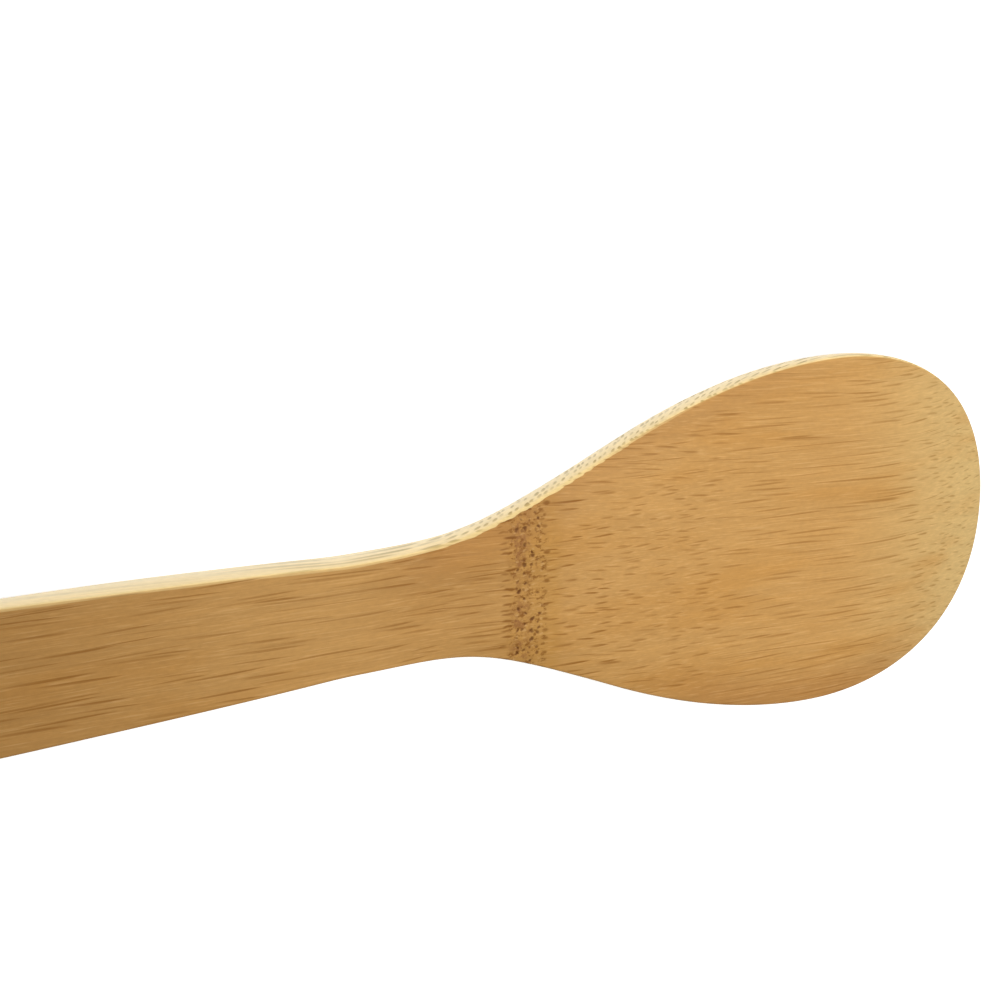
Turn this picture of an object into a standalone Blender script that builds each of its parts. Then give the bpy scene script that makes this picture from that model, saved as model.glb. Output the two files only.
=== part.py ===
"""A rice paddle sawn, carved and sanded from one piece of bamboo culm.

The paddle lies on its flat back. X runs along it, with the blade's tip at +X, Y runs across it and Z is up out of
its face. The origin is the middle of its length and width, on the surface it lies on. All lengths are in metres.

The whole body is one loft: a section goes out from the spine over the face, round the edge and back under the
body to the spine, and is repeated at every station of the outline. Half of the paddle is made and then mirrored.
"""
import math

import bmesh
import bpy
from mathutils import Vector
from mathutils.geometry import interpolate_bezier

# The outline, seen from above
LENGTH = 0.2000
BLADE_WIDTH = 0.0620
SHOULDER_WIDTH = 0.0420
NECK_WIDTH = 0.0184
HANDLE_END_WIDTH = 0.0239

# How far apart the outline's knots are along the paddle, from the tip back to the neck
TIP_TO_WIDEST = 0.0340
WIDEST_TO_SHOULDER = 0.0410
SHOULDER_TO_NECK = 0.0470
HANDLE_END_ROUNDING = 0.0095

# How steeply the outline flares at the shoulder, and how much each side of the handle widens toward its end
SHOULDER_FLARE = math.radians(24.5)
HANDLE_FLARE = math.radians(1.8)

# The heights, seen from the side
HANDLE_THICKNESS = 0.0055
BLADE_THICKNESS = 0.0045
BLADE_END_THICKNESS = 0.0038
RIM_THICKNESS = 0.0037
TIP_THICKNESS = 0.0012
TIP_LIFT = 0.0015
HANDLE_END_LIFT = 0.0018
EDGE_RADIUS = 0.0005

# Where the heights change along the paddle
NECK_SLOPE_BEHIND = 0.0010
NECK_SLOPE_LENGTH = 0.0300
FACE_THINNING_LENGTH = 0.0400
TIP_FALL_LENGTH = 0.0400
TIP_LIFT_LENGTH = 0.0550
TIP_LIFT_LEVEL = 0.0190
HANDLE_LIFT_LENGTH = 0.0500

# How far each curve of the outline leans on its knot's direction, as a share of the gap to the next knot
HANDLE_REACH = 0.92
NECK_BACK_REACH = 0.10
NECK_FRONT_REACH = 0.425
SHOULDER_BACK_REACH = 0.53
SHOULDER_FRONT_REACH = 0.295
WIDEST_BACK_REACH = 0.355
WIDEST_FRONT_REACH = 0.555
TIP_REACH = 0.685
CORNER_REACH = 0.62

# The share of the half-width that stays flat before the face and the back curve toward the edge
FACE_FLAT_SHARE = 0.40
BACK_FLAT_SHARE = 0.50

# The most of a thin edge's height that its rounding may take
EDGE_RADIUS_SHARE = 0.45

# How finely the curves are cut into faces
HANDLE_END_STEPS = 9
HANDLE_STEPS = 18
NECK_STEPS = 20
SHOULDER_STEPS = 14
TIP_STEPS = 20
FACE_RINGS = (FACE_FLAT_SHARE, 0.58, 0.74, 0.88)
BACK_RINGS = (0.86, 0.70, BACK_FLAT_SHARE)
EDGE_STEPS = 3

# Faces that meet more steeply than this keep a crisp line between them, and points closer than this are one
SHARP_ANGLE = math.radians(40.0)
MERGE_DISTANCE = 0.00001

TIP_X = LENGTH / 2
WIDEST_X = TIP_X - TIP_TO_WIDEST
SHOULDER_X = WIDEST_X - WIDEST_TO_SHOULDER
NECK_X = SHOULDER_X - SHOULDER_TO_NECK
HANDLE_END_X = -LENGTH / 2
CORNER_X = HANDLE_END_X + HANDLE_END_ROUNDING

BAMBOO_COLOUR = (0.560, 0.300, 0.098, 1.0)
BAMBOO_ROUGHNESS = 0.50


def clear_scene():
    """Removes whatever the new file holds."""
    for old in list(bpy.data.objects):
        bpy.data.objects.remove(old, do_unlink=True)


def bamboo():
    """Sanded bamboo: a warm tan with a soft sheen and no metal."""
    material = bpy.data.materials.new("sanded_bamboo")
    material.use_nodes = True
    shader = material.node_tree.nodes["Principled BSDF"]
    shader.inputs["Base Color"].default_value = BAMBOO_COLOUR
    shader.inputs["Roughness"].default_value = BAMBOO_ROUGHNESS
    shader.inputs["Metallic"].default_value = 0.0
    return material


def ease(x, start, end):
    """Rises from 0 at the start to 1 at the end, level at both."""
    share = min(max((x - start) / (end - start), 0.0), 1.0)
    return share * share * (3.0 - 2.0 * share)


def mix(a, b, share):
    return a + (b - a) * share


def knot(x, width, slope=0.0):
    """A point of the outline's +Y side, with the direction in which the outline passes it."""
    return Vector((x, width / 2, 0.0)), Vector((1.0, slope, 0.0))


def span(start, end, start_reach, end_reach, steps):
    """The curve between two knots, without its last point."""
    (p0, d0), (p1, d1) = start, end
    gap = p1.x - p0.x
    points = interpolate_bezier(p0, p0 + d0 * start_reach * gap, p1 - d1 * end_reach * gap, p1, steps + 1)
    return [point.to_3d() for point in points[:-1]]


def half_outline():
    """The +Y side of the outline, from the middle of the handle's end round to the tip."""
    handle_slope = -math.tan(HANDLE_FLARE)
    corner = knot(CORNER_X, HANDLE_END_WIDTH, handle_slope)
    neck = knot(NECK_X, NECK_WIDTH)
    shoulder = knot(SHOULDER_X, SHOULDER_WIDTH, math.tan(SHOULDER_FLARE))
    widest = knot(WIDEST_X, BLADE_WIDTH)

    # The handle's end leaves the middle line square to it and turns into the side
    end_middle = Vector((HANDLE_END_X, 0.0, 0.0))
    end_reach = Vector((0.0, CORNER_REACH * HANDLE_END_WIDTH / 2, 0.0))
    corner_reach = corner[1] * CORNER_REACH * HANDLE_END_ROUNDING
    end = interpolate_bezier(end_middle, end_middle + end_reach, corner[0] - corner_reach, corner[0],
                             HANDLE_END_STEPS + 1)

    # The tip meets the middle line square to it as well
    tip_point = Vector((TIP_X, 0.0, 0.0))
    tip_reach = Vector((0.0, TIP_REACH * BLADE_WIDTH / 2, 0.0))
    widest_reach = widest[1] * WIDEST_FRONT_REACH * TIP_TO_WIDEST
    tip = interpolate_bezier(widest[0], widest[0] + widest_reach, tip_point + tip_reach, tip_point, TIP_STEPS + 1)

    outline = [point.to_3d() for point in end[:-1]]
    outline += span(corner, neck, HANDLE_REACH, NECK_BACK_REACH, HANDLE_STEPS)
    outline += span(neck, shoulder, NECK_FRONT_REACH, SHOULDER_BACK_REACH, NECK_STEPS)
    outline += span(shoulder, widest, SHOULDER_FRONT_REACH, WIDEST_BACK_REACH, SHOULDER_STEPS)
    outline += [point.to_3d() for point in tip]
    return outline


def spine_point(rim):
    """Where the section through a rim point starts: straight across from it, or at an end of the spine."""
    start = HANDLE_END_X + HANDLE_END_WIDTH / 2
    return Vector((min(max(rim.x, start), WIDEST_X), 0.0, 0.0))


def neck_slope(x):
    """0 on the handle, 1 on the blade. The slope starts just behind the neck's narrowest place."""
    start = NECK_X - NECK_SLOPE_BEHIND
    return ease(x, start, start + NECK_SLOPE_LENGTH)


def face_height(x):
    """The face over the spine: full on the handle, lower on the blade and lower again toward the tip."""
    blade = mix(BLADE_THICKNESS, BLADE_END_THICKNESS, ease(x, WIDEST_X - FACE_THINNING_LENGTH, WIDEST_X))
    return mix(HANDLE_THICKNESS, blade, neck_slope(x))


def handle_lift(x):
    """The back stands off the surface over the last of the handle, so that fingers get under it."""
    return HANDLE_END_LIFT * ease(-x, -HANDLE_END_X - HANDLE_LIFT_LENGTH, -HANDLE_END_X)


def rim_heights(x):
    """The face's and the back's height at the edge."""
    tip_fall = ease(x, TIP_X - TIP_FALL_LENGTH, TIP_X)
    blade_face = mix(RIM_THICKNESS, TIP_LIFT + TIP_THICKNESS, tip_fall)
    face = mix(HANDLE_THICKNESS, blade_face, neck_slope(x))
    tip_lift = TIP_LIFT * ease(x, TIP_X - TIP_LIFT_LENGTH, TIP_X - TIP_LIFT_LEVEL)
    return face, handle_lift(x) + tip_lift


def curve_off(share, flat_share):
    """0 over the flat middle, then a parabola that reaches 1 at the edge."""
    beyond = max(share - flat_share, 0.0) / (1.0 - flat_share)
    return beyond * beyond


def section(rim):
    """The section's points, from the spine over the face, round the edge and back under to the spine."""
    spine = spine_point(rim)
    out = rim - spine
    reach = out.length
    out.normalize()
    middle = face_height(spine.x)
    under = handle_lift(spine.x)
    face, back = rim_heights(rim.x)
    radius = min(EDGE_RADIUS, EDGE_RADIUS_SHARE * (face - back))
    flat_reach = reach - radius

    points = [spine + Vector((0.0, 0.0, middle))]
    for share in FACE_RINGS:
        height = mix(middle, face, curve_off(share, FACE_FLAT_SHARE))
        points.append(spine + out * flat_reach * share + Vector((0.0, 0.0, height)))
    for centre, start in ((face - radius, 90.0), (back + radius, 0.0)):
        for step in range(EDGE_STEPS + 1):
            angle = math.radians(start - 90.0 * step / EDGE_STEPS)
            along = flat_reach + radius * math.cos(angle)
            points.append(spine + out * along + Vector((0.0, 0.0, centre + radius * math.sin(angle))))
    for share in BACK_RINGS:
        height = mix(under, back, curve_off(share, BACK_FLAT_SHARE))
        points.append(spine + out * flat_reach * share + Vector((0.0, 0.0, height)))
    points.append(spine + Vector((0.0, 0.0, under)))
    return points


def half_body():
    """The +Y half of the paddle as a mesh, open along the middle plane."""
    mesh = bpy.data.meshes.new("paddle")
    body = bmesh.new()
    rows = [[body.verts.new(point) for point in section(rim)] for rim in half_outline()]
    for row, following in zip(rows, rows[1:]):
        for k in range(len(row) - 1):
            body.faces.new((row[k], following[k], following[k + 1], row[k + 1]))
    # The sections of an end all start at the same spine point
    bmesh.ops.remove_doubles(body, verts=body.verts, dist=MERGE_DISTANCE)
    bmesh.ops.recalc_face_normals(body, faces=body.faces)
    body.to_mesh(mesh)
    body.free()
    return mesh


def paddle():
    """Handle, neck and blade, one piece of culm: the half body and its mirror image."""
    body = bpy.data.objects.new("paddle", half_body())
    bpy.context.scene.collection.objects.link(body)
    body.data.materials.append(bamboo())
    body.data.shade_smooth()
    body.data.set_sharp_from_angle(angle=SHARP_ANGLE)
    mirror = body.modifiers.new("other_side", "MIRROR")
    mirror.use_axis = (False, True, False)
    mirror.use_clip = True
    mirror.merge_threshold = MERGE_DISTANCE
    return body


clear_scene()
paddle()
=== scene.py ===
# %% [markdown]
# # A rice paddle carved from one piece of bamboo
#
# The paddle is a plank sawn from the wall of a thick bamboo culm. Its outline is sawn, its faces are
# planed and its edges are sanded, and nothing is joined to it. So there is one piece to make here, and
# nearly all of its character is in how the culm's fibre bundles meet the surface: as long lines on the
# handle, short dashes on the blade, dots on the edge, and a band of disordered dark pits where a node of
# the culm crossed the plank.
#
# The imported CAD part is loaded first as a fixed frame. Everything below is in its metres: X along the paddle
# with the blade's tip at +X, Y across it, Z up out of its face, and the surface that it lies on at Z = 0.

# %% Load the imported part
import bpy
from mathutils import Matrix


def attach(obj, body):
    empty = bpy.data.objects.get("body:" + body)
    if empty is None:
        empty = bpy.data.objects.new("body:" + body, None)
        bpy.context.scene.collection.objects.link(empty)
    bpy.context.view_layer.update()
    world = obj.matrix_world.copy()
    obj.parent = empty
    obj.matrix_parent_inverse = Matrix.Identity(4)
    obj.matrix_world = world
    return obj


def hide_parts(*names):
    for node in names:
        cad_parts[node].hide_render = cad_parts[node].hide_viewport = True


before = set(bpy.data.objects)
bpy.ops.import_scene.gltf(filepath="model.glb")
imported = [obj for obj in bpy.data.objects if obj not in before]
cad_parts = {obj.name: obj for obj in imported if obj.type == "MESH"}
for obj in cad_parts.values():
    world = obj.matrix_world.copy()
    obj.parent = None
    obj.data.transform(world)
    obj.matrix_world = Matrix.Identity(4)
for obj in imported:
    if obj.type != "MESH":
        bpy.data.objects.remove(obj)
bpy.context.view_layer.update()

# %% Modules and two small helpers
import math

import bpy
from mathutils import Matrix, Vector


def hex_colour(text):
    """An sRGB colour such as #C8995A as the linear RGBA that Blender works in."""
    channels = [int(text[k:k + 2], 16) / 255 for k in (1, 3, 5)]
    return [c / 12.92 if c <= 0.04045 else ((c + 0.055) / 1.055) ** 2.4 for c in channels] + [1.0]


def add(tree, kind, settings=None, inputs=(), output=None):
    """Adds a node with its options, fills or links its inputs by name or in order, and returns an output."""
    node = tree.nodes.new(kind)
    for name, value in (settings or {}).items():
        setattr(node, name, value)
    sockets = [socket for socket in node.inputs if socket.enabled]
    if isinstance(inputs, dict):
        sockets = [next(socket for socket in sockets if socket.name == name) for name in inputs]
        inputs = inputs.values()
    for socket, value in zip(sockets, inputs):
        if isinstance(value, bpy.types.NodeSocket):
            tree.links.new(value, socket)
        else:
            socket.default_value = value
    return next(socket for socket in node.outputs if socket.enabled and output in (None, socket.name))


# The kinds of node that come up often, and their settings. A Map Range is filled in order: the value, where
# it starts and ends, and what comes out there, which is 0 and 1 where it isn't said.
MATH = "ShaderNodeMath"
VECTOR_MATH = "ShaderNodeVectorMath"
MAP_RANGE = "ShaderNodeMapRange"
MIX = "ShaderNodeMix"
NOISE = "ShaderNodeTexNoise"
VORONOI = "ShaderNodeTexVoronoi"
SEPARATE = "ShaderNodeSeparateXYZ"
COMBINE = "ShaderNodeCombineXYZ"
OPERATIONS = ("ADD", "SUBTRACT", "MULTIPLY", "MULTIPLY_ADD", "SCALE", "MAXIMUM", "MINIMUM")
ADD, SUBTRACT, MULTIPLY, MULTIPLY_ADD, SCALE, MAXIMUM, MINIMUM = [{"operation": name} for name in OPERATIONS]
SMOOTH = {"interpolation_type": "SMOOTHSTEP"}
COLOURS = {"data_type": "RGBA"}
FLAT_CELLS = {"voronoi_dimensions": "2D"}
print("Helpers ready")

# %% [markdown]
# ## The camera
#
# The photograph was taken from above the paddle's long edge, from the handle's side, with the handle running
# out of the picture. Tilt, yaw and roll turn the paddle in front of the camera in that order, and the culm's
# node, which is easy to find in the picture, is the point that the camera's place is measured from.

# %% Camera
PICTURE_SIZE = 1000
SENSOR_WIDTH_MM = 36.0
NODE_X = 0.00612
CAMERA_TILT = math.radians(20.0)
CAMERA_YAW = math.radians(25.0)
CAMERA_ROLL = math.radians(-8.99)
CAMERA_DISTANCE = 1 / 3
PIXELS_PER_METRE = 6278.5
NODE_IN_PICTURE = Vector((522.0, 591.3))
FACE_AT_NODE = 0.0055
NEAREST_SEEN = 0.01

# Picture axes are x right, y down and z away, so the paddle is first turned over to face the camera
turned_over = Matrix.Diagonal((1.0, -1.0, -1.0))
facing = (Matrix.Rotation(CAMERA_ROLL, 3, "Z") @ turned_over
          @ Matrix.Rotation(CAMERA_YAW, 3, "Y") @ Matrix.Rotation(CAMERA_TILT, 3, "X"))
off_centre = (NODE_IN_PICTURE - Vector((PICTURE_SIZE / 2, PICTURE_SIZE / 2))) / PIXELS_PER_METRE
node_seen = Vector((off_centre.x, off_centre.y, CAMERA_DISTANCE))

camera_data = bpy.data.cameras.new("camera")
camera_data.sensor_width = SENSOR_WIDTH_MM
camera_data.sensor_fit = "HORIZONTAL"
camera_data.lens = PIXELS_PER_METRE * CAMERA_DISTANCE / PICTURE_SIZE * SENSOR_WIDTH_MM
camera_data.clip_start = NEAREST_SEEN
camera = bpy.data.objects.new("camera", camera_data)
bpy.context.scene.collection.objects.link(camera)
axes = Matrix((facing[0], -facing[1], -facing[2])).transposed()
place = Vector((NODE_X, 0.0, FACE_AT_NODE)) - facing.transposed() @ node_seen
camera.matrix_world = Matrix.Translation(place) @ axes.to_4x4()
bpy.context.scene.camera = camera
print("Camera at", [round(value, 3) for value in place], "with a lens of", round(camera_data.lens, 1), "mm")

# %% [markdown]
# ## The body's outline
#
# The outline is drawn on the plank with a template and sawn. Half of it is six Bezier knots: the middle
# of the handle's end, the corner, the neck, the shoulder, the widest place and the tip. Each curve
# leans on its knots' directions by a share of the gap between them, which is how the same curve was
# drawn in the CAD model.

# %% Outline
LENGTH = 0.2000
BLADE_WIDTH = 0.0620
SHOULDER_WIDTH = 0.0420
NECK_WIDTH = 0.0184
HANDLE_END_WIDTH = 0.0239
HANDLE_END_ROUNDING = 0.0095
TIP_X = LENGTH / 2
WIDEST_X = TIP_X - 0.0340
SHOULDER_X = WIDEST_X - 0.0410
NECK_X = SHOULDER_X - 0.0470
CORNER_X = HANDLE_END_ROUNDING - LENGTH / 2
HANDLE_FLARE = math.radians(1.8)
SHOULDER_FLARE = math.radians(24.5)
CORNER_REACH = 0.62
CURVE_STEPS = 200

handle_slope = -math.tan(HANDLE_FLARE)
shoulder_slope = math.tan(SHOULDER_FLARE)
to_neck = NECK_X - CORNER_X
to_shoulder = SHOULDER_X - NECK_X
to_widest = WIDEST_X - SHOULDER_X
to_tip = TIP_X - WIDEST_X
end_reach = CORNER_REACH * HANDLE_END_WIDTH / 2
corner_reach = CORNER_REACH * HANDLE_END_ROUNDING
# Place, direction, and how far the curve leans on it behind and ahead, which is a share of each gap
knots = [
    ((-TIP_X, 0.0), (0.0, 1.0), 0.0, end_reach),
    ((CORNER_X, HANDLE_END_WIDTH / 2), (1.0, handle_slope), corner_reach, 0.92 * to_neck),
    ((NECK_X, NECK_WIDTH / 2), (1.0, 0.0), 0.10 * to_neck, 0.425 * to_shoulder),
    ((SHOULDER_X, SHOULDER_WIDTH / 2), (1.0, shoulder_slope), 0.53 * to_shoulder, 0.295 * to_widest),
    ((WIDEST_X, BLADE_WIDTH / 2), (1.0, 0.0), 0.355 * to_widest, 0.555 * to_tip),
    ((TIP_X, 0.0), (0.0, -1.0), 0.685 * BLADE_WIDTH / 2, 0.0),
]

outline = bpy.data.curves.new("half_outline", "CURVE")
outline.dimensions = "3D"
spline = outline.splines.new("BEZIER")
spline.resolution_u = CURVE_STEPS
spline.bezier_points.add(len(knots) - 1)
for point, (spot, direction, behind, ahead) in zip(spline.bezier_points, knots):
    spot, direction = Vector((*spot, 0.0)), Vector((*direction, 0.0))
    point.handle_left_type = point.handle_right_type = "FREE"
    point.co = spot
    point.handle_left = spot - direction * behind
    point.handle_right = spot + direction * ahead
body = bpy.data.objects.new("carved_paddle", outline)
bpy.context.scene.collection.objects.link(body)
print("Outline of", len(knots), "knots, half of it", round(spline.calc_length(), 4), "m long")

# %% [markdown]
# ## The body's shape, as a Geometry Nodes tree
#
# The body follows one rule: at each station of the outline a section goes out from the spine over the face,
# round the edge and back underneath. A flat grid is bent into that shape. Its X says which station a point
# belongs to and its Y says how far round the section it lies. The tree's inputs carry the sizes, so the rule
# can be tried with others.

# %% The tree's inputs
rule = bpy.data.node_groups.new("carved_from_a_plank", "GeometryNodeTree")
rule.interface.new_socket(name="Geometry", in_out="OUTPUT", socket_type="NodeSocketGeometry")
rule.interface.new_socket(name="Outline", in_out="INPUT", socket_type="NodeSocketGeometry")
SIZES = {
    "Handle thickness": 0.0055,
    "Blade thickness": 0.0045,
    "Blade end thickness": 0.0038,
    "Rim thickness": 0.0037,
    "Tip thickness": 0.0012,
    "Tip lift": 0.0015,
    "Handle lift": 0.0018,
    "Edge radius": 0.0005,
    "Sanding depth": 0.00006,
    "Pit depth": 0.00018,
}
COUNTS = {"Stations": 560, "Rings": 79}
for name, value in SIZES.items():
    rule.interface.new_socket(name=name, in_out="INPUT", socket_type="NodeSocketFloat").default_value = value
for name, value in COUNTS.items():
    rule.interface.new_socket(name=name, in_out="INPUT", socket_type="NodeSocketInt").default_value = value
rule.interface.new_socket(name="Finish", in_out="INPUT", socket_type="NodeSocketMaterial")
given = rule.nodes.new("NodeGroupInput").outputs
print("Tree inputs:", ", ".join(socket.name for socket in given if socket.name))

# %% Stations along the outline and the spine
# The grid is a metre square about the origin, so its place plus a half runs from 0 to 1 each way
grid_sizes = {"Size X": 1.0, "Size Y": 1.0, "Vertices X": given["Stations"], "Vertices Y": given["Rings"]}
grid = add(rule, "GeometryNodeMeshGrid", None, grid_sizes, "Mesh")
spot = add(rule, "GeometryNodeInputPosition")
spot = add(rule, VECTOR_MATH, ADD, [spot, (0.5, 0.5, 0.0)])
station = add(rule, SEPARATE, None, [spot], "X")
around = station.node.outputs["Y"]
# Stations stand closer together where the culm's node crosses, because its pits are small. Each pair is a
# station's share of the grid and its share of the outline at one border of the node.
CROWDED_STATIONS = ((0.450, 0.478), (0.556, 0.545))
crowded = add(rule, "ShaderNodeFloatCurve", None, {"Value": station})
node_band = crowded.node.mapping.curves[0].points
for where in CROWDED_STATIONS:
    node_band.new(*where)
for point in node_band:
    point.handle_type = "VECTOR"
crowded.node.mapping.update()
along_outline = {"Curves": given["Outline"], "Factor": crowded}
rim = add(rule, "GeometryNodeSampleCurve", {"mode": "FACTOR"}, along_outline, "Position")
rim_x = add(rule, SEPARATE, None, [rim], "X")
spine_start = HANDLE_END_WIDTH / 2 - TIP_X
spine_x = add(rule, "ShaderNodeClamp", None, {"Value": rim_x, "Min": spine_start, "Max": WIDEST_X})
spine = add(rule, COMBINE, None, {"X": spine_x})
outward = add(rule, VECTOR_MATH, SUBTRACT, [rim, spine])
reach = add(rule, VECTOR_MATH, {"operation": "LENGTH"}, [outward])
outward = add(rule, VECTOR_MATH, {"operation": "NORMALIZE"}, [outward])
print("Stations and spine:", len(rule.nodes), "nodes")

# %% Heights of the face and of the back
# The neck's slope starts a millimetre behind the narrowest place and takes 30 mm
SLOPE_START = NECK_X - 0.0010
SLOPE_END = SLOPE_START + 0.0300
LIFT_START = -0.0500
THINNING_START = WIDEST_X - 0.0400
FALL_START = TIP_X - 0.0400
TIP_LIFT_START = TIP_X - 0.0550
TIP_LIFT_END = TIP_X - 0.0190
# The most of a thin edge's height that its rounding may take
ROUNDED_SHARE = 0.45
tip_face = add(rule, MATH, ADD, [given["Tip lift"], given["Tip thickness"]])
# Each of these goes from one height to another between two places along the paddle, level at both
blade_heights = (given["Blade thickness"], given["Blade end thickness"])
blade_middle = add(rule, MAP_RANGE, SMOOTH, [spine_x, THINNING_START, WIDEST_X, *blade_heights])
middle = add(rule, MAP_RANGE, SMOOTH,
             [spine_x, SLOPE_START, SLOPE_END, given["Handle thickness"], blade_middle])
blade_rim = add(rule, MAP_RANGE, SMOOTH, [rim_x, FALL_START, TIP_X, given["Rim thickness"], tip_face])
face_rim = add(rule, MAP_RANGE, SMOOTH,
               [rim_x, SLOPE_START, SLOPE_END, given["Handle thickness"], blade_rim])
under = add(rule, MAP_RANGE, SMOOTH, [spine_x, LIFT_START, -TIP_X, 0.0, given["Handle lift"]])
rim_lift = add(rule, MAP_RANGE, SMOOTH, [rim_x, LIFT_START, -TIP_X, 0.0, given["Handle lift"]])
tip_lift = add(rule, MAP_RANGE, SMOOTH, [rim_x, TIP_LIFT_START, TIP_LIFT_END, 0.0, given["Tip lift"]])
back_rim = add(rule, MATH, ADD, [rim_lift, tip_lift])
wall = add(rule, MATH, SUBTRACT, [face_rim, back_rim])
most = add(rule, MATH, MULTIPLY, [wall, ROUNDED_SHARE])
radius = add(rule, MATH, MINIMUM, [given["Edge radius"], most])
print("Heights:", len(rule.nodes), "nodes")

# %% The section: how far out and how high each ring lies
# Shares of the way round: the face, the back and each rounding take these, and the wall takes the rest
ring_steps = COUNTS["Rings"] - 1
FACE_SHARE = 44 / ring_steps
BACK_SHARE = 22 / ring_steps
ROUND_SHARE = 4 / ring_steps
ROUND_START = FACE_SHARE + ROUND_SHARE
ROUND_END = 1 - BACK_SHARE - ROUND_SHARE
# The surface stays level over its flat middle, then curves to the edge as a parabola
FACE_FLAT_SHARE = 0.40
BACK_FLAT_SHARE = 0.50
QUARTER_TURN = math.pi / 2
out_on_face = add(rule, MAP_RANGE, None, [around, 0.0, FACE_SHARE])
out_on_back = add(rule, MAP_RANGE, None, [around, 1.0, 1 - BACK_SHARE])
share = add(rule, MATH, MINIMUM, [out_on_face, out_on_back])
turn_top = add(rule, MAP_RANGE, None, [around, FACE_SHARE, ROUND_START, 0.0, QUARTER_TURN])
turn_low = add(rule, MAP_RANGE, None, [around, 1 - BACK_SHARE, ROUND_END, 0.0, QUARTER_TURN])
sides = []
for edge, centre, flat, turn, inwards in (
        (face_rim, middle, FACE_FLAT_SHARE, turn_top, -1.0),
        (back_rim, under, BACK_FLAT_SHARE, turn_low, 1.0)):
    beyond = add(rule, MAP_RANGE, None, [share, flat, 1.0])
    beyond = add(rule, MATH, {"operation": "POWER"}, [beyond, 2.0])
    level = add(rule, MIX, None, [beyond, centre, edge])
    cosine = add(rule, MATH, {"operation": "COSINE"}, [turn])
    drop = add(rule, MATH, SUBTRACT, [1.0, cosine])
    drop = add(rule, MATH, MULTIPLY, [drop, radius])
    height = add(rule, MATH, MULTIPLY_ADD, [drop, inwards, level])
    sides.append((height, add(rule, MATH, {"operation": "SINE"}, [turn])))
(face_height, sine_top), (back_height, sine_low) = sides
down_wall = add(rule, MAP_RANGE, None, [around, ROUND_START, ROUND_END])
height = add(rule, MIX, None, [down_wall, face_height, back_height])
bulge = add(rule, MATH, MINIMUM, [sine_top, sine_low])
flat_reach = add(rule, MATH, SUBTRACT, [reach, radius])
flat_out = add(rule, MATH, MULTIPLY, [flat_reach, share])
out = add(rule, MATH, MULTIPLY_ADD, [bulge, radius, flat_out])
out = add(rule, VECTOR_MATH, SCALE, [outward, out])
lifted = add(rule, COMBINE, None, {"X": spine_x, "Z": height})
surface = add(rule, VECTOR_MATH, ADD, [out, lifted])
print("Section:", len(rule.nodes), "nodes")

# %% [markdown]
# ## Marks that the finish reads
#
# Three attributes are left on the mesh, because the finish follows the section and not only the place:
# `depth` is 0 on the face, 1 on the back and runs down the wall between them, `wall` is 1 on the sanded wall
# and fades out over both roundings, and `inset` says how far a place on the face or the back lies in from the
# rounding, in millimetres.

# %% Attributes, bending and the other half
MM_IN_METRE = 1000.0
MERGE_DISTANCE = 0.000001
depth = add(rule, MAP_RANGE, None, [around, FACE_SHARE, 1 - BACK_SHARE])
inset = add(rule, MATH, SUBTRACT, [flat_reach, flat_out])
inset = add(rule, MATH, MULTIPLY, [inset, MM_IN_METRE])
marked = grid
for name, value in (("depth", depth), ("wall", bulge), ("inset", inset)):
    marked = add(rule, "GeometryNodeStoreNamedAttribute", {"data_type": "FLOAT", "domain": "POINT"},
                 {"Geometry": marked, "Name": name, "Value": value})
half = add(rule, "GeometryNodeSetPosition", None, {"Geometry": marked, "Position": surface})
mirrored = add(rule, "GeometryNodeTransform", None, {"Geometry": half, "Scale": (1.0, -1.0, 1.0)})
mirrored = add(rule, "GeometryNodeFlipFaces", None, {"Mesh": mirrored})
both = add(rule, "GeometryNodeJoinGeometry", None, {"Geometry": half})
rule.links.new(mirrored, both.node.inputs[0])
whole = add(rule, "GeometryNodeMergeByDistance", None, {"Geometry": both, "Distance": MERGE_DISTANCE})
print("Both halves:", len(rule.nodes), "nodes")

# %% [markdown]
# ## How the fibre bundles run
#
# A culm's fibre bundles run its length, side by side, and swing a little where a node interrupts them. If the
# place of a point is turned into "how far across the culm" and "how deep in its wall" along its own bundle,
# then every pattern drawn in those two numbers is solid: it shows as lines on a face, as dashes where the
# surface cuts the bundles at a slant, and as dots on an end. That is what gives this paddle its look, so the
# pattern is made that way and not painted on.

# %% The bundles' course
# Each bend is a place along the paddle in millimetres and the slope that the bundles gain there
ACROSS_SLOPE, ACROSS_BENDS = 0.018, ((-8.0, 0.045), (78.0, -0.085))
DEEP_SLOPE, DEEP_BENDS = 0.032, ((-26.0, -0.022), (9.0, 0.106), (42.0, -0.092), (87.0, 0.150))
BEND_SOFTNESS_MM = 10.0
# Bundles wander by half a millimetre over some 50 mm of length, together with those beside them
WANDER_SCALE = (0.020, 0.11, 0.11)
WANDER_MM = (1.0, 0.6, 0.0)
# The course fans out a little: it leans more on the +Y side of the blade than on the other
FAN_PER_MM = 0.018
MIDDLE_GREY = (0.5, 0.5, 0.5)


def bent_line(tree, x, slope, bends):
    """A straight line over x that turns softly at each bend."""
    line = add(tree, MATH, MULTIPLY, [x, slope])
    for where, turn in bends:
        past = add(tree, MATH, SUBTRACT, [x, where])
        past = add(tree, MATH, {"operation": "SMOOTH_MAX"}, [past, 0.0, BEND_SOFTNESS_MM])
        line = add(tree, MATH, MULTIPLY_ADD, [past, turn, line])
    return line


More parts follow.
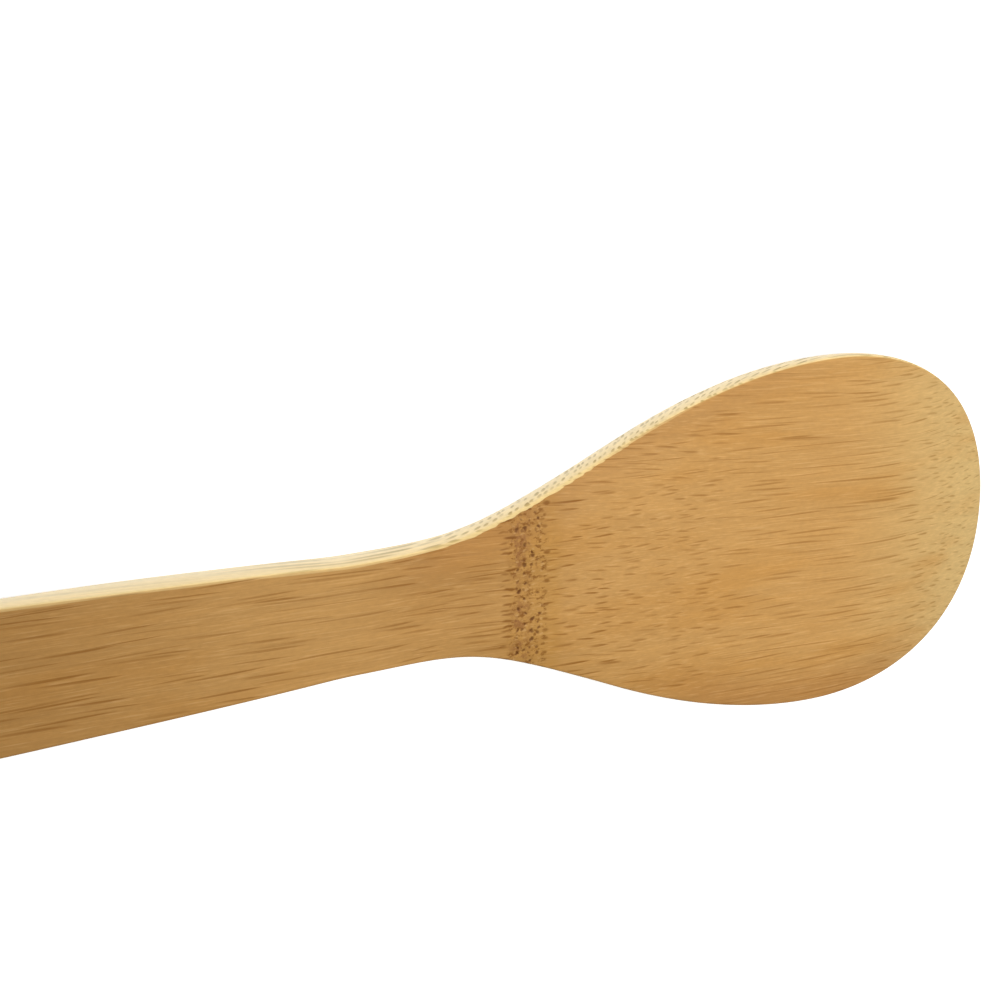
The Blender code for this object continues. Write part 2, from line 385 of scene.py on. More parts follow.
def bundle_course(tree, place):
    """Turns a place in millimetres into (across the culm, deep in its wall), the same all along a bundle."""
    x = add(tree, SEPARATE, None, [place], "X")
    y, z = x.node.outputs["Y"], x.node.outputs["Z"]
    slow = add(tree, VECTOR_MATH, MULTIPLY, [place, WANDER_SCALE])
    wander = add(tree, NOISE, None, {"Vector": slow, "Scale": 1.0, "Detail": 1.0}, "Color")
    wander = add(tree, VECTOR_MATH, SUBTRACT, [wander, MIDDLE_GREY])
    across = bent_line(tree, x, ACROSS_SLOPE, ACROSS_BENDS)
    fan = add(tree, MATH, MULTIPLY_ADD, [y, FAN_PER_MM, 1.0])
    across = add(tree, MATH, MULTIPLY_ADD, [across, fan, y])
    sinking = bent_line(tree, x, DEEP_SLOPE, DEEP_BENDS)
    deep = add(tree, MATH, SUBTRACT, [z, sinking])
    course = add(tree, COMBINE, None, [across, deep])
    return add(tree, VECTOR_MATH, MULTIPLY_ADD, [wander, WANDER_MM, course])


tip_mm = TIP_X * MM_IN_METRE
drift = ACROSS_SLOPE * tip_mm + sum(turn * (tip_mm - where) for where, turn in ACROSS_BENDS)
print("Bundles drift", round(drift, 1), "mm across the culm between the paddle's middle and its tip")

# %% [markdown]
# ## Pits at the node
#
# Where a node of the culm crossed the plank, bundles turn and cross through the wall, and planing cuts them
# open as small dark holes. They are scattered by a pattern of cells in X and Y: each cell gives its mark a
# size of its own, some cells have none, and a noise frays what is drawn. The same recipe dents the mesh here
# and darkens the finish later, and the finish draws the node's dashes and flecks with it as well.

# %% The node's pattern
NODE_START_MM = 3.3
NODE_END_MM = 11.6
# The node's borders wander by so much to each side
BORDER_WANDER_MM = 0.7
BORDER_SCALE = (0.05, 0.40, 0.40)
# Shares of a mark's radius and strength: its evenly dark middle, and the faintest mark beside the strongest
MARK_CORE = 0.3
FAINTEST_MARK = 0.35


def frayed(tree, place, waves, push_mm):
    """A place that a noise of so many waves a millimetre pushes about, so that what is drawn there frays."""
    push = add(tree, NOISE, None, {"Vector": place, "Scale": waves, "Detail": 1.0}, "Color")
    push = add(tree, VECTOR_MATH, SUBTRACT, [push, MIDDLE_GREY])
    return add(tree, VECTOR_MATH, MULTIPLY_ADD, [push, (push_mm,) * 3, place])


def between(tree, place, start, end, softness):
    """1 between two places along the paddle in millimetres and 0 beyond them, with wandering borders."""
    uneven = add(tree, VECTOR_MATH, MULTIPLY, [place, BORDER_SCALE])
    uneven = add(tree, NOISE, None, {"Vector": uneven, "Scale": 1.0, "Detail": 3.0})
    x = add(tree, SEPARATE, None, [place], "X")
    x = add(tree, MATH, MULTIPLY_ADD, [uneven, 2 * BORDER_WANDER_MM, x])
    start, end = start + BORDER_WANDER_MM, end + BORDER_WANDER_MM
    rising = add(tree, MAP_RANGE, SMOOTH, [x, start - softness, start + softness])
    falling = add(tree, MAP_RANGE, SMOOTH, [x, end + softness, end - softness])
    return add(tree, MATH, MULTIPLY, [rising, falling])


def scattered(tree, place, cell, jitter, empty, small, large):
    """1 in scattered marks and 0 between them; a cell is (long, wide) in mm, and radii are shares of it."""
    flat = add(tree, VECTOR_MATH, MULTIPLY, [place, (1 / cell[0], 1 / cell[1], 0.0)])
    cells = {"Vector": flat, "Scale": 1.0, "Randomness": jitter}
    far = add(tree, VORONOI, FLAT_CELLS, cells, "Distance")
    luck = add(tree, SEPARATE, None, [far.node.outputs["Color"]], "X")
    size = add(tree, MAP_RANGE, None, [luck, empty, 1.0, small, large])
    core = add(tree, MATH, MULTIPLY, [size, MARK_CORE])
    mark = add(tree, MAP_RANGE, SMOOTH, [far, size, core])
    strength = add(tree, MAP_RANGE, None, [luck, empty, 1.0, FAINTEST_MARK, 1.0])
    present = add(tree, MATH, {"operation": "GREATER_THAN"}, [luck, empty])
    for share in (present, strength):
        mark = add(tree, MATH, MULTIPLY, [mark, share])
    return mark


def pits(tree, place):
    """How deep the node's pits are at a place, from 0 to 1."""
    torn = frayed(tree, place, waves=1.0, push_mm=0.9)
    holes = scattered(tree, torn, (1.25, 1.10), jitter=0.9, empty=0.35, small=0.24, large=0.42)
    band = between(tree, place, NODE_START_MM + 2.2, NODE_END_MM - 1.2, softness=0.5)
    return add(tree, MATH, MULTIPLY, [holes, band])


print("Node band from", NODE_START_MM, "to", NODE_END_MM, "mm")

# %% [markdown]
# ## Relief, and a plain mesh
#
# A finger that follows a sanded face feels long shallow hollows, and a small pit at each bundle that the
# planing opened in the node. Bump in the material could fake both, but the mesh is handed over by itself as
# well, so its points are moved instead. The tree's result is then copied into a plain mesh, which needs no
# modifier to keep its shape.

# %% Relief on the mesh
# All relief goes inwards, so that the body stays inside the CAD model. The hollows are about 15 mm long.
HOLLOW_SCALE = (0.06, 0.14, 0.2)
spot = add(rule, "GeometryNodeInputPosition")
spot_mm = add(rule, VECTOR_MATH, SCALE, [spot, MM_IN_METRE])
hollows = add(rule, VECTOR_MATH, MULTIPLY, [spot_mm, HOLLOW_SCALE])
hollows = add(rule, NOISE, None, {"Vector": hollows, "Scale": 1.0, "Detail": 2.0})
hollows = add(rule, MATH, MULTIPLY, [hollows, given["Sanding depth"]])
carved = add(rule, MATH, MULTIPLY_ADD, [pits(rule, spot_mm), given["Pit depth"], hollows])
carved = add(rule, MATH, MULTIPLY, [carved, -1.0])
normal = add(rule, "GeometryNodeInputNormal")
inward = add(rule, VECTOR_MATH, SCALE, [normal, carved])
worn = add(rule, "GeometryNodeSetPosition", None, {"Geometry": whole, "Offset": inward})
smooth = add(rule, "GeometryNodeSetShadeSmooth", None, {"Geometry": worn})
realized = add(rule, "GeometryNodeRealizeInstances", None, {"Geometry": smooth})
finished = add(rule, "GeometryNodeSetMaterial", None, {"Geometry": realized, "Material": given["Finish"]})
shown = rule.nodes.new("NodeGroupOutput")
rule.links.new(finished, shown.inputs[0])
print("Whole tree:", len(rule.nodes), "nodes")

# %% The tree becomes a plain mesh
bamboo = bpy.data.materials.new("sanded_bamboo_culm")
carving = body.modifiers.new("carving", "NODES")
carving.node_group = rule
for item in rule.interface.items_tree:
    if item.in_out == "INPUT" and item.name == "Finish":
        carving[item.identifier] = bamboo
evaluated = body.evaluated_get(bpy.context.evaluated_depsgraph_get())
mesh = bpy.data.meshes.new_from_object(evaluated)
bpy.data.objects.remove(body)
paddle = bpy.data.objects.new("carved_paddle", mesh)
bpy.context.scene.collection.objects.link(paddle)
mesh.name = "carved_paddle"
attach(paddle, "root")
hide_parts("paddle")
mesh.calc_loop_triangles()
kept = [attribute.name for attribute in mesh.attributes if attribute.name in ("depth", "wall", "inset")]
print("Body:", len(mesh.vertices), "points,", len(mesh.loop_triangles), "triangles, attributes", kept)

# %% [markdown]
# ## The finish: sanded bamboo
#
# Bamboo is cellulose fibre in a soft pale ground. Planed and sanded, and with only a trace of oil, it has a
# satin sheen and a warm tan colour, a little more amber beside the node and paler toward the tip, where the
# paler colour is partly painted light. The wood's darker parts are the fibre bundles, each a brown sheath that
# is denser to one side. They are about half a millimetre thick. On the inner side of the culm's wall, which is
# the face here, they stand about a millimetre apart. Toward the skin, the back here, they are finer, greyer
# and closer, in rows, and the ground is a pale cream.

# %% Where a point of the finish lies
# Object coordinates and the mesh's own attributes stay with the paddle however it is turned or seen
bamboo.use_nodes = True
tree = bamboo.node_tree
shader = tree.nodes["Principled BSDF"]
spot = add(tree, "ShaderNodeTexCoord", output="Object")
spot_mm = add(tree, VECTOR_MATH, SCALE, [spot, MM_IN_METRE])
depth, wall, inset = [add(tree, "ShaderNodeAttribute", {"attribute_name": name}, output="Fac")
                      for name in ("depth", "wall", "inset")]
course = bundle_course(tree, spot_mm)
x = add(tree, SEPARATE, None, [spot_mm], "X")
y = x.node.outputs["Y"]
across = add(tree, SEPARATE, None, [course], "X")
deep = across.node.outputs["Y"]
print("Places:", len(tree.nodes), "nodes")

# %% The ground's grain
# It has four widths: clouds of 8 mm, bands of 1.5 mm, specks of half a millimetre and fibres of a quarter. A
# scale is in waves a millimetre, and a small first number makes a pattern long.
CLOUD_SCALE = (0.030, 0.13, 0.13)
BAND_SCALE = (0.022, 0.70, 0.70)
SPECK_SCALE = (0.90, 2.0, 2.0)
FIBRE_SCALE = (0.110, 4.0, 4.0)
along_course = add(tree, COMBINE, None, [x, across, deep])
layers = []
for scale in (CLOUD_SCALE, BAND_SCALE, SPECK_SCALE, FIBRE_SCALE):
    scaled = add(tree, VECTOR_MATH, MULTIPLY, [along_course, scale])
    layers.append(add(tree, NOISE, None, {"Vector": scaled, "Scale": 1.0, "Detail": 2.0}))
clouds, bands, specks, fibres = layers
print("Grain:", len(tree.nodes), "nodes")

# %% Ground colour
TAN = hex_colour("#CC9A57")
AMBER = hex_colour("#BC8A49")
# The tip's paler colour: partly the wood's own tone and partly painted light
PALE = hex_colour("#D8B778")
SKIN_SIDE = hex_colour("#D2B27A")
ORANGE = hex_colour("#C48C42")
GOLD = hex_colour("#BE8A3C")
# Painted shade for the handle's far end, a little browner as well
FAR_END_SHADE = (0.84, 0.80, 0.73)
# Amber begins 30 mm behind the middle and ends on the blade
behind_node = add(tree, MAP_RANGE, SMOOTH, [x, -30.0, -6.0])
before_blade = add(tree, MAP_RANGE, SMOOTH, [x, 20.0, 6.0])
near_node = add(tree, MATH, MULTIPLY, [behind_node, before_blade])
# It is deeper on the +Y side
deeper = add(tree, MAP_RANGE, SMOOTH, [y, -9.0, 9.0, 0.35, 1.0])
near_node = add(tree, MATH, MULTIPLY, [near_node, deeper])
# Toward the tip the ground turns paler: partly the wood's own tone and partly painted light for the brighter
# tip
near_tip = add(tree, MAP_RANGE, SMOOTH, [x, 64.0, 106.0])
cloudy = add(tree, MAP_RANGE, SMOOTH, [clouds, 0.48, 0.72, 0.0, 0.5])
# Inside the node and just past it the ground is more golden
golden = add(tree, MATH, MULTIPLY, [between(tree, spot_mm, 4.5, 13.5, softness=1.2), 0.40])
# The back was nearer to the culm's skin and is paler
skin = add(tree, MAP_RANGE, SMOOTH, [depth, 0.9, 1.0, 0.0, 0.7])
ground = TAN
TONES = ((near_node, AMBER), (near_tip, PALE), (cloudy, ORANGE), (golden, GOLD), (skin, SKIN_SIDE))
for share, tone in TONES:
    ground = add(tree, MIX, COLOURS, [share, ground, tone])
# The handle's far end is darker and a little browner: painted shade where the light falls off toward it
shaded_end = add(tree, MAP_RANGE, SMOOTH, [x, -24.0, -88.0])
shaded_ground = add(tree, VECTOR_MATH, MULTIPLY, [ground, FAR_END_SHADE])
ground = add(tree, MIX, COLOURS, [shaded_end, ground, shaded_ground])
print("Ground:", len(tree.nodes), "nodes")

# %% [markdown]
# ## The sanded edge
#
# The edge is cut through the culm's wall, so its ground is yellow beside the face and cream toward the culm's
# skin. It could be a second material on the faces of the wall, but the border isn't a clean line. On the +Y
# side the sanding took more, and the rounding faces the lamps, so that the yellow reaches over the rounding
# onto the face: partly the cut's own colour and partly painted light. It reaches least where the bundles run
# along the edge and by fits where they end at it. On the other side and round the tip the face's colour goes
# over the rounding. So both are mixed in one material, by the attributes that the mesh carries.

# %% Where the cut shows
# The +Y side faces the lamps: the cut's colour on its rounding is partly painted light
left_side = add(tree, MAP_RANGE, SMOOTH, [y, -2.0, 2.0])
behind_tip = add(tree, MAP_RANGE, SMOOTH, [x, 96.0, 80.0])
worn_and_lit_side = add(tree, MATH, MULTIPLY, [left_side, behind_tip])
# The cut begins at one share of the wall's mark and is whole at another, and both come
# sooner on the +Y side, where its colour on the rounding is partly painted light
cut_start = add(tree, MAP_RANGE, SMOOTH, [worn_and_lit_side, 0.0, 1.0, 0.93, 0.36])
cut_end = add(tree, MAP_RANGE, SMOOTH, [worn_and_lit_side, 0.0, 1.0, 0.99, 0.70])
cut_side = add(tree, MAP_RANGE, SMOOTH, [wall, cut_start, cut_end])
# Nibbles are how far it reaches onto the face beyond the rounding, in millimetres
NIBBLE_SCALE = (0.05, 1.2, 0.0)
nibbles = add(tree, VECTOR_MATH, MULTIPLY, [along_course, NIBBLE_SCALE])
nibbles = add(tree, NOISE, None, {"Vector": nibbles, "Scale": 1.0, "Detail": 1.0})
nibbles = add(tree, MAP_RANGE, SMOOTH, [nibbles, 0.38, 0.66, 0.01, 0.30])
ends_here = add(tree, MAP_RANGE, SMOOTH, [x, -26.0, 2.0, 0.45, 1.0])
before_tip = add(tree, MAP_RANGE, SMOOTH, [x, 46.0, 14.0])
for share in (worn_and_lit_side, ends_here, before_tip):
    nibbles = add(tree, MATH, MULTIPLY, [nibbles, share])
half_nibbles = add(tree, MATH, MULTIPLY, [nibbles, 0.5])
onto_face = add(tree, MAP_RANGE, SMOOTH, [inset, nibbles, half_nibbles])
for share in (worn_and_lit_side, ends_here, before_tip):
    onto_face = add(tree, MATH, MULTIPLY, [onto_face, share])
cut_side = add(tree, MATH, MAXIMUM, [cut_side, onto_face])
print("Cut:", len(tree.nodes), "nodes")

# %% The edge's colours, and the rims' tone with its painted shade
CREAM = hex_colour("#F7F0DC")
STRIP = hex_colour("#F1D28D")
to_skin = add(tree, MAP_RANGE, None, [depth, 0.0, 0.92])
to_skin = add(tree, MATH, {"operation": "POWER"}, [to_skin, 1.4])
edge_tone = add(tree, MIX, COLOURS, [to_skin, STRIP, CREAM])
# The face is darker and browner toward its rims; on the -Y side of the blade this is painted shade, where the
# face curves away from the light. Each row is a side, where its tone begins and ends, and the most of it.
RIM_TONE_AND_SHADE = hex_colour("#A87134")
RIM_SIDES = (
    (-1.0, (22.0, 48.0), (92.0, 76.0), 0.54),
    (1.0, (-22.0, -6.0), (70.0, 50.0), 0.28),
)
RIM_WIDTH_MM = 8.5
for side, begins, ends, most in RIM_SIDES:
    rim_tone_and_shade = add(tree, MAP_RANGE, SMOOTH, [y, -2.0 * side, 2.0 * side])
    limits = ((x, *begins, 1.0), (x, *ends, 1.0), (inset, RIM_WIDTH_MM, 0.0, most), (depth, 0.6, 0.2, 1.0))
    for value, start, end, full in limits:
        share = add(tree, MAP_RANGE, SMOOTH, [value, start, end, 0.0, full])
        rim_tone_and_shade = add(tree, MATH, MULTIPLY, [rim_tone_and_shade, share])
    ground = add(tree, MIX, COLOURS, [rim_tone_and_shade, ground, RIM_TONE_AND_SHADE])
ground = add(tree, MIX, COLOURS, [cut_side, ground, edge_tone])
print("Edge and rims:", len(tree.nodes), "nodes")

# %% The ground's shading
# Bands and specks lighten and darken the ground by a few hundredths, and fibres show as
# paler and darker hairs
PALE_HAIR = hex_colour("#FFD69A")
shade = add(tree, MAP_RANGE, None, [bands, 0.30, 0.70, 0.95, 1.04])
for layer, low, high in ((specks, 0.95, 1.05), (fibres, 0.92, 1.03)):
    share = add(tree, MAP_RANGE, None, [layer, 0.25, 0.75, low, high])
    shade = add(tree, MATH, MULTIPLY, [shade, share])
ground = add(tree, VECTOR_MATH, SCALE, [ground, shade])
hairs = add(tree, MAP_RANGE, SMOOTH, [fibres, 0.52, 0.75, 0.0, 0.14])
ground = add(tree, MIX, COLOURS, [hairs, ground, PALE_HAIR])
print("With its shading:", len(tree.nodes), "nodes")

# %% [markdown]
# ## The fibre bundles
#
# On a cut end a bundle is a dark sheath half a millimetre thick. A picture of streaks could be laid over
# the face, but it would slide at the edge, where the streaks have to turn into dots. So the sheaths are
# drawn as cells in the culm's section, from the two numbers of their course, and the surface shows
# whatever it cuts. They are made twice: coarse ones for the inner part of the culm's wall and finer ones,
# in rows, toward its skin.

# %% A bundle's sheath
# The plank is nearly as wide as a quarter of the culm, so toward its edges the culm's wall leans out
CULM_RADIUS_MM = 55.0
# Shares of a sheath's radius and thickness: its evenly dark middle, and how far to a side its dense part lies
SHEATH_CORE = 0.40
DENSE_SIDE = 0.7
lean = add(tree, MATH, {"operation": "DIVIDE"}, [y, CULM_RADIUS_MM])


def bundles(tree, section, spacing, wide, order, thin, thick, faintest):
    """How dark the bundles are at a place in the culm's section; thin and thick are shares of the spacing."""
    scaled = add(tree, VECTOR_MATH, MULTIPLY, [section, (1 / spacing[0], 1 / spacing[1], 0.0)])
    cells = {"Vector": scaled, "Scale": 1.0, "Randomness": 1.0 - order}
    centre = add(tree, VORONOI, FLAT_CELLS, cells, "Position")
    luck = add(tree, SEPARATE, None, [centre.node.outputs["Color"]], "X")
    away = add(tree, VECTOR_MATH, SUBTRACT, [scaled, centre])
    aside = add(tree, SEPARATE, None, [away], "X")
    below = aside.node.outputs["Y"]
    # A sheath is longer through the wall than across it, so it leans with the wall
    leaning = add(tree, MATH, MULTIPLY, [lean, spacing[1] / spacing[0]])
    aside = add(tree, MATH, MULTIPLY_ADD, [leaning, below, aside])
    aside = add(tree, MATH, MULTIPLY, [aside, 1 / wide])
    far = add(tree, COMBINE, None, [aside, below])
    far = add(tree, VECTOR_MATH, {"operation": "LENGTH"}, [far])
    radius = add(tree, MAP_RANGE, None, [luck, 0.0, 1.0, thin, thick])
    core = add(tree, MATH, MULTIPLY, [radius, SHEATH_CORE])
    sheath = add(tree, MAP_RANGE, SMOOTH, [far, radius, core])
    # The sheath is denser toward the inner side, so a mark on the face is dark at one end
    # and fades at the other
    dense = thick * DENSE_SIDE
    side = add(tree, MAP_RANGE, None, [below, dense, -dense, 0.45, 1.0])
    strength = add(tree, MAP_RANGE, None, [luck.node.outputs["Y"], 0.0, 1.0, faintest, 1.0])
    for share in (side, strength):
        sheath = add(tree, MATH, MULTIPLY, [sheath, share])
    return sheath


print("Culm of", CULM_RADIUS_MM, "mm radius")

# %% Coarse and fine bundles
# Spacing across the culm and through its wall, in millimetres
FACE_SPACING = (0.90, 0.80)
SKIN_SPACING = (0.58, 1.45)
# Neighbouring bundles lie at unlike depths, so that their marks on the face don't fall into columns
UNLIKE_MM = 1.8
shift = add(tree, NOISE, {"noise_dimensions": "1D"}, {"W": across, "Scale": 0.7, "Detail": 0.0})
shift = add(tree, MATH, MULTIPLY, [shift, UNLIKE_MM])
shift = add(tree, COMBINE, None, [0.0, shift])
unlike = add(tree, VECTOR_MATH, ADD, [course, shift])
coarse = bundles(tree, unlike, FACE_SPACING, wide=1.25, order=0.15, thin=0.18, thick=0.29, faintest=0.45)
on_back = add(tree, MAP_RANGE, SMOOTH, [depth, 0.9, 1.0])
off_rounding = add(tree, MAP_RANGE, SMOOTH, [wall, 1.0, 0.0])
on_back = add(tree, MATH, MULTIPLY, [on_back, off_rounding])
in_rows = add(tree, MIX, {"data_type": "VECTOR"}, [on_back, course, unlike])
close = bundles(tree, in_rows, SKIN_SPACING, wide=1.0, order=0.45, thin=0.30, thick=0.47, faintest=0.40)
print("Bundles:", len(tree.nodes), "nodes")

# %% How strongly the bundles show
# The coarse ones end where the wall begins. Inside the node they are in disorder, so they fade there, and
# they are darkest just past it and fainter on the blade and at the tip. Each row holds a value, where it
# starts and ends, and the strength at both.
in_node = between(tree, spot_mm, NODE_START_MM + 0.7, NODE_END_MM - 0.4, softness=0.8)
past_node = between(tree, spot_mm, 12.0, 23.0, softness=3.0)
COARSE_STRENGTH = (
    (depth, 0.12, 0.0, 0.0, 1.0),
    (in_node, 0.0, 1.0, 1.0, 0.15),
    (x, -24.0, -8.0, 0.84, 0.8),
    (x, 0.0, 20.0, 1.0, 0.88),
    (past_node, 0.0, 1.0, 1.0, 1.5),
    (near_tip, 0.4, 1.0, 1.0, 0.76),
)
CLOSE_STRENGTH = (
    (depth, 0.06, 0.18, 0.0, 1.0),
    (on_back, 0.0, 1.0, 1.0, 0.4),
)
for value, start, end, low, high in COARSE_STRENGTH:
    share = add(tree, MAP_RANGE, SMOOTH, [value, start, end, low, high])
    coarse = add(tree, MATH, MULTIPLY, [coarse, share])
for value, start, end, low, high in CLOSE_STRENGTH:
    share = add(tree, MAP_RANGE, SMOOTH, [value, start, end, low, high])
    close = add(tree, MATH, MULTIPLY, [close, share])
# Along the handle's sides the wall runs with the bundles and hardly cuts them, but its end cuts them square
crossed = add(tree, MAP_RANGE, SMOOTH, [x, -60.0, 4.0, 0.15, 1.0])
end_grain = add(tree, MAP_RANGE, SMOOTH, [x, -92.0, -96.0])
crossed = add(tree, MATH, MAXIMUM, [crossed, end_grain])
close = add(tree, MATH, MULTIPLY, [close, crossed])
print("With their strength:", len(tree.nodes), "nodes")

# %% The bundles' colours
BROWN = hex_colour("#8A5404")
DULL_BROWN = hex_colour("#8E6420")
OLIVE = hex_colour("#9C7E3C")
GREY = hex_colour("#B4AA8A")
face_mark = add(tree, MIX, COLOURS, [near_tip, BROWN, DULL_BROWN])
toward_skin = add(tree, MAP_RANGE, SMOOTH, [depth, 0.25, 0.85])
skin_mark = add(tree, MIX, COLOURS, [toward_skin, OLIVE, GREY])
# Bundles stand so close at the back arris that they show as a line
at_back = add(tree, MAP_RANGE, SMOOTH, [depth, 0.82, 0.95])
at_back = add(tree, MATH, MULTIPLY, [at_back, wall])
at_back = add(tree, MATH, MULTIPLY, [at_back, 0.25])
colour = ground
for share, tone in ((coarse, face_mark), (close, skin_mark), (at_back, GREY)):
    colour = add(tree, MIX, COLOURS, [share, colour, tone])
print("With their colours:", len(tree.nodes), "nodes")

# %% [markdown]
# ## The node's colours
#
# Sap and soil darken a culm at its nodes. Across this face the node shows as a mottled brown stain, pale
# flecks that are painted highlights beside the pits, a row of short dashes at each border where the straight
# bundles break off, crossing bundles between the rows, and the pits. Each kind is a pattern of its own size,
# kept inside its own band, and they are laid over each other in that order.

# %% The node's stain and border dashes
# The stain is mottled and gathers to both sides of the middle
BLOTCH_SCALE = (0.55, 0.45, 0.45)
blotches = add(tree, VECTOR_MATH, MULTIPLY, [spot_mm, BLOTCH_SCALE])
blotches = add(tree, NOISE, None, {"Vector": blotches, "Scale": 1.0, "Detail": 5.0, "Roughness": 0.8})
from_middle = add(tree, MATH, {"operation": "ABSOLUTE"}, [y])
stained = add(tree, MAP_RANGE, SMOOTH, [blotches, 0.43, 0.60])
stain_band = between(tree, spot_mm, 4.6, 8.0, softness=1.0)
to_side = add(tree, MAP_RANGE, SMOOTH, [from_middle, 0.5, 4.0, 0.4, 1.0])
for share in (stain_band, to_side):
    stained = add(tree, MATH, MULTIPLY, [stained, share])
# One column of cells makes the dashes that line a border, so the place is moved to have the
# border in its middle
START_ROW_MM = 4.8
START_CELL = (4.2, 0.88)
END_ROW_MM = 11.0
END_CELL = (2.4, 1.35)
rows = []
for middle_mm, cell in ((START_ROW_MM, START_CELL), (END_ROW_MM, END_CELL)):
    cell_start = (middle_mm - cell[0] / 2, 0.0, 0.0)
    uneven = frayed(tree, spot_mm, waves=0.5, push_mm=0.6)
    rows.append(add(tree, VECTOR_MATH, SUBTRACT, [uneven, cell_start]))
start_row = scattered(tree, rows[0], START_CELL, jitter=0.50, empty=0.10, small=0.22, large=0.42)
end_row = scattered(tree, rows[1], END_CELL, jitter=0.65, empty=0.12, small=0.20, large=0.38)
print("Stain and dashes:", len(tree.nodes), "nodes")

# %% The node's crossings, painted highlight flecks and pits
STAIN = hex_colour("#966231")
DASH = hex_colour("#804C00")
FLECK_HIGHLIGHT = hex_colour("#D8AC6E")
PIT = hex_colour("#643600")
BORDER_SOFTNESS_MM = 0.4
CROSSING_SCALE = (0.95, 1.45, 1.45)
crossings = add(tree, VECTOR_MATH, MULTIPLY, [spot_mm, CROSSING_SCALE])
crossings = add(tree, NOISE, None, {"Vector": crossings, "Scale": 1.0, "Detail": 3.0, "Roughness": 0.65})
crossings = add(tree, MAP_RANGE, SMOOTH, [crossings, 0.52, 0.65])
# The pale flecks are painted highlights beside the pits
highlight_place = frayed(tree, spot_mm, waves=1.0, push_mm=0.8)
highlight_flecks = scattered(tree, highlight_place, (1.5, 0.70), jitter=0.9, empty=0.40, small=0.18, large=0.36)
# Pattern, colour, the most of it and the band that holds it, in millimetres
MARKS = (
    (stained, STAIN, 0.85, (3.6, 9.5)),
    (highlight_flecks, FLECK_HIGHLIGHT, 0.50, (4.6, 11.0)),
    (start_row, DASH, 0.95, (2.6, 6.4)),
    (end_row, DASH, 0.80, (9.4, 12.2)),
    (crossings, DASH, 0.75, (4.4, 11.2)),
    (pits(tree, spot_mm), PIT, 0.95, (NODE_START_MM, NODE_END_MM)),
)
off_wall = add(tree, MATH, SUBTRACT, [1.0, cut_side])
for marks, tone, most, (start, end) in MARKS:
    for share in (between(tree, spot_mm, start, end, BORDER_SOFTNESS_MM), off_wall, most):
        marks = add(tree, MATH, MULTIPLY, [marks, share])
    colour = add(tree, MIX, COLOURS, [marks, colour, tone])
tree.links.new(colour, shader.inputs["Base Color"])
print("Node band:", len(tree.nodes), "nodes")

# %% [markdown]
# ## Sheen and touch
#
# Sanding leaves bamboo satin: a lamp shows on it as a broad soft patch and never as a picture of itself. Each
# fibre takes the paper a little differently, so the sheen changes from hair to hair, and the sheaths stand a
# hair lower than the ground between them. That is too fine for the mesh, so it is bump.

# %% Sheen and touch
SMOOTHEST, ROUGHEST = 0.48, 0.62
FIBRE_HEIGHT = 0.00008
SHEATH_DROP = -0.6
rough = add(tree, MAP_RANGE, None, [fibres, 0.3, 0.7, SMOOTHEST, ROUGHEST])
tree.links.new(rough, shader.inputs["Roughness"])
shader.inputs["IOR"].default_value = 1.50
# Bare fibre shines less than its index says, because the sanding leaves it open
shader.inputs["Specular IOR Level"].default_value = 0.20
marks = add(tree, MATH, ADD, [coarse, close])
relief = add(tree, MATH, MULTIPLY_ADD, [marks, SHEATH_DROP, fibres])
bump = add(tree, "ShaderNodeBump", None, {"Strength": 0.35, "Distance": FIBRE_HEIGHT, "Height": relief})
tree.links.new(bump, shader.inputs["Normal"])
print("Finish:", len(tree.nodes), "nodes")

# %% [markdown]
# ## Floor and light
#
# The photograph shows the paddle on pure white. The floor is a large pale sheet: to the camera it glows a
# little, so that it comes out white where nothing shades it, and where the paddle stands in the light it
# still shows the shadow. The light is a soft studio light. A lamp close above the blade makes it brighter
# than the handle, a large low lamp on the +Y side lights the long edge, and a pale room fills the rest.

# %% Floor
HALF_FLOOR = 3.0
GLOW = 0.60
WHITE = (1.0, 1.0, 1.0, 1.0)


def background_rays(tree):
    """1 for rays that show the background: the camera's, and those that a mirror or glass sends on."""
    seen = add(tree, "ShaderNodeLightPath", output="Is Camera Ray")
    rays = seen.node.outputs
    for kind in ("Is Glossy Ray", "Is Transmission Ray"):
        seen = add(tree, MATH, MAXIMUM, [seen, rays[kind]])
    return seen


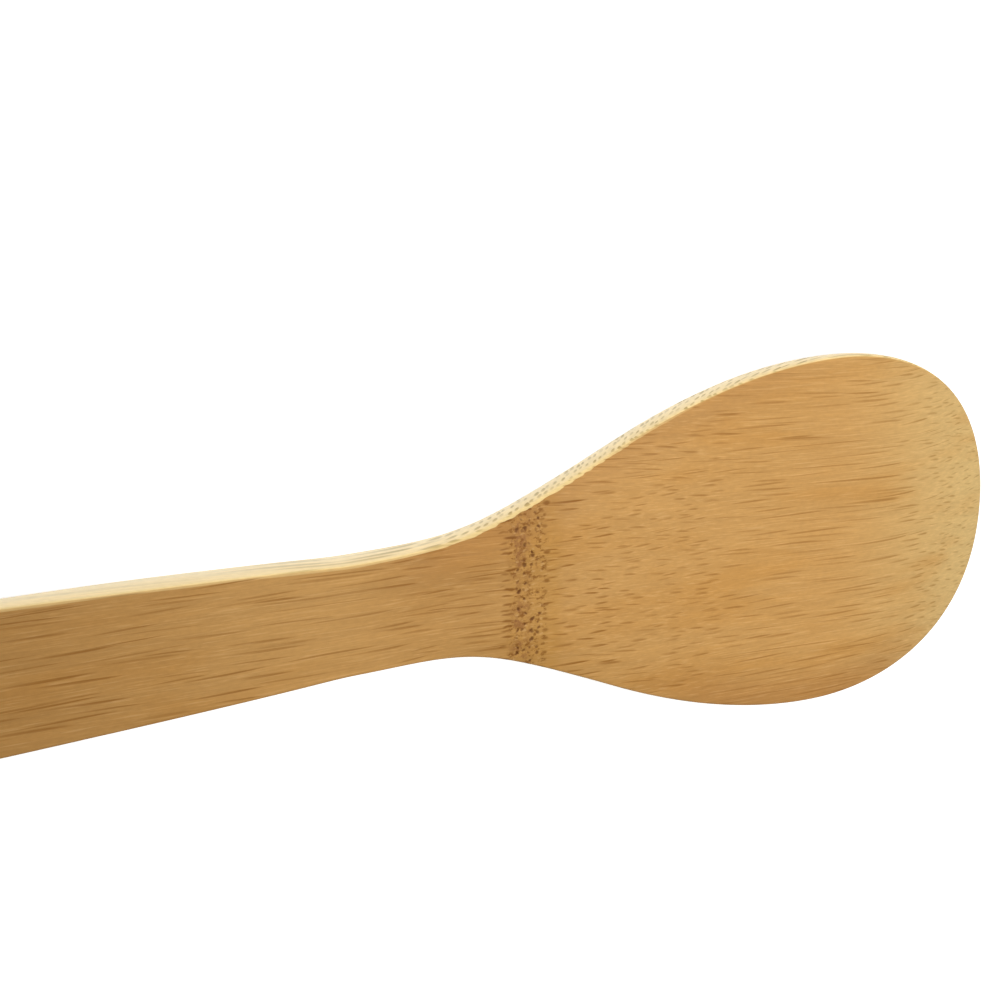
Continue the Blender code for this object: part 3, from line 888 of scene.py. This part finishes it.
floor_mesh = bpy.data.meshes.new("floor")
corners = [(-HALF_FLOOR, -HALF_FLOOR, 0.0), (HALF_FLOOR, -HALF_FLOOR, 0.0),
           (HALF_FLOOR, HALF_FLOOR, 0.0), (-HALF_FLOOR, HALF_FLOOR, 0.0)]
floor_mesh.from_pydata(corners, [], [(0, 1, 2, 3)])
floor = bpy.data.objects.new("floor", floor_mesh)
bpy.context.scene.collection.objects.link(floor)
paper = bpy.data.materials.new("white_paper")
paper.use_nodes = True
floor_mesh.materials.append(paper)
tree = paper.node_tree
shader = tree.nodes["Principled BSDF"]
shader.inputs["Base Color"].default_value = hex_colour("#F0F0F0")
shader.inputs["Roughness"].default_value = 0.9
shader.inputs["Specular IOR Level"].default_value = 0.1
glow = add(tree, MATH, MULTIPLY, [background_rays(tree), GLOW])
shader.inputs["Emission Color"].default_value = WHITE
tree.links.new(glow, shader.inputs["Emission Strength"])
print("Floor", HALF_FLOOR * 2, "m wide")

# %% World
ROOM_LIGHT = 0.28
world = bpy.data.worlds.new("pale_room")
bpy.context.scene.world = world
world.use_nodes = True
tree = world.node_tree
background = tree.nodes["Background"]
background.inputs["Color"].default_value = WHITE
strength = add(tree, MAP_RANGE, None, [background_rays(tree), 0.0, 1.0, ROOM_LIGHT, 1.0])
tree.links.new(strength, background.inputs["Strength"])
print("Room light:", ROOM_LIGHT)

# %% Lamps
# Name, place, aim, size and watts
LAMPS = (
    ("key", (0.085, 0.034, 0.202), (0.040, 0.0, 0.0), 0.20, 0.328),
    ("edge", (-0.160, 0.420, 0.090), (-0.030, 0.0, 0.0), 0.40, 1.11),
)
for name, lamp_place, aim, size, watts in LAMPS:
    lamp = bpy.data.lights.new(name, "AREA")
    lamp.shape = "DISK"
    lamp.size = size
    lamp.energy = watts
    holder = bpy.data.objects.new(name, lamp)
    holder.location = lamp_place
    holder.rotation_euler = (Vector(aim) - Vector(lamp_place)).to_track_quat("-Z", "Y").to_euler()
    bpy.context.scene.collection.objects.link(holder)
bpy.context.scene.view_settings.view_transform = "Standard"
print("Lamps:", ", ".join(name for name, *_ in LAMPS))
